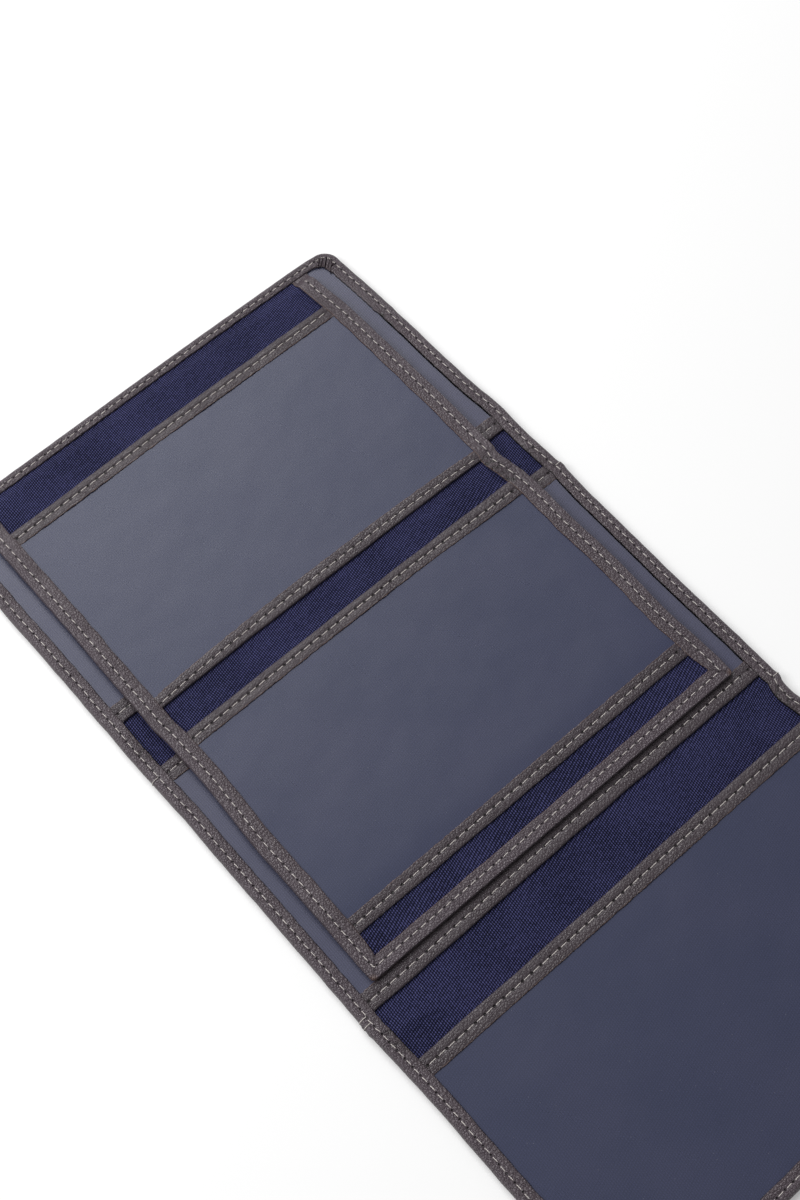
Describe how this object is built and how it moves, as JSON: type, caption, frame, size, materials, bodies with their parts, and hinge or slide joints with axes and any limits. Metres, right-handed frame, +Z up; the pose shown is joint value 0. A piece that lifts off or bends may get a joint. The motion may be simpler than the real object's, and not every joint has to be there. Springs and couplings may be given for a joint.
{
  "type": "document wallet",
  "caption": "Flat trifold document wallet of turned and stitched leather with clear bound windows, a woven lining and a hinged inner leaf that folds with it.",
  "frame": {"origin": "middle of the underside of the open wallet, on the surface it lies on", "axes": "+X along the folds, +Y towards the far panel that carries the leaf, +Z up out of the lined side"},
  "size_m": [0.13, 0.2534, 0.0045],
  "materials": {
    "leather": "taupe goat-like fine grain, turned edges",
    "lining": "fine navy plain weave",
    "window_film": "soft frosted clear film",
    "board": "grey-brown stiffening board",
    "thread": "light grey sewing thread"
  },
  "bodies": {
    "panel_b": {"leather_b": "leather", "board_b": "board", "lining_b": "lining", "window_b": "window_film", "strip_b_far": "leather", "strip_b_near": "leather", "side_edges_b": "leather", "thread_b": "thread"},
    "spine_1": {"leather_spine_1": "leather", "lining_spine_1": "lining", "side_edges_spine_1": "leather", "thread_spine_1": "thread"},
    "panel_a": {"leather_a": "leather", "board_a": "board", "lining_a": "lining", "window_a": "window_film", "strip_a": "leather", "side_edges_a": "leather", "top_hem": "leather", "leaf_root": "leather", "thread_a": "thread"},
    "spine_2": {"leather_spine_2": "leather", "lining_spine_2": "lining", "side_edges_spine_2": "leather", "thread_spine_2": "thread"},
    "panel_c": {"leather_c": "leather", "board_c": "board", "lining_c": "lining", "window_c": "window_film", "strip_c": "leather", "side_edges_c": "leather", "bottom_hem": "leather", "thread_c": "thread"},
    "leaf_upper": {"leaf_back_upper": "leather", "leaf_lining_upper": "lining", "leaf_window_upper": "window_film", "leaf_strip_1": "leather", "leaf_strip_2": "leather", "leaf_edges_upper": "leather", "leaf_thread_upper": "thread"},
    "leaf_spine": {"leaf_back_spine": "leather", "leaf_lining_spine": "lining", "leaf_edges_spine": "leather", "leaf_thread_spine": "thread"},
    "leaf_lower": {"leaf_back_lower": "leather", "leaf_lining_lower": "lining", "leaf_window_lower": "window_film", "leaf_strip_3": "leather", "leaf_strip_4": "leather", "leaf_edges_lower": "leather", "leaf_hem": "leather", "leaf_thread_lower": "thread"}
  },
  "joints": [
    {"name": "fold_1", "type": "hinge", "parent": "panel_b", "child": "panel_a", "pos_m": [0, 0.04333, 0.00632], "axis": [1, 0, 0], "range_deg": [0, 180]},
    {"name": "fold_1_spine", "type": "hinge", "parent": "panel_b", "child": "spine_1", "pos_m": [0, 0.03845, 0.00145], "axis": [1, 0, 0], "range_deg": [0, 90]},
    {"name": "fold_2", "type": "hinge", "parent": "panel_b", "child": "panel_c", "pos_m": [0, -0.04585, 0.0037], "axis": [-1, 0, 0], "range_deg": [0, 180]},
    {"name": "fold_2_spine", "type": "hinge", "parent": "panel_b", "child": "spine_2", "pos_m": [0, -0.0436, 0.00145], "axis": [-1, 0, 0], "range_deg": [0, 90]},
    {"name": "leaf_turn", "type": "hinge", "parent": "panel_a", "child": "leaf_upper", "pos_m": [0, 0.12305, 0.00385], "axis": [-1, 0, 0], "range_deg": [0, 180]},
    {"name": "leaf_fold", "type": "hinge", "parent": "leaf_upper", "child": "leaf_lower", "pos_m": [0, 0.04485, 0.00632], "axis": [-1, 0, 0], "range_deg": [0, 180]},
    {"name": "leaf_fold_spine", "type": "hinge", "parent": "leaf_upper", "child": "leaf_spine", "pos_m": [0, 0.0485, 0.00267], "axis": [-1, 0, 0], "range_deg": [0, 90]}
  ],
  "couplings": [
    {"joint": "fold_1_spine", "follows": "fold_1", "ratio": 0.5},
    {"joint": "leaf_fold", "follows": "fold_1", "ratio": 1},
    {"joint": "leaf_fold_spine", "follows": "fold_1", "ratio": 0.5},
    {"joint": "fold_2_spine", "follows": "fold_2", "ratio": 0.5}
  ]
}
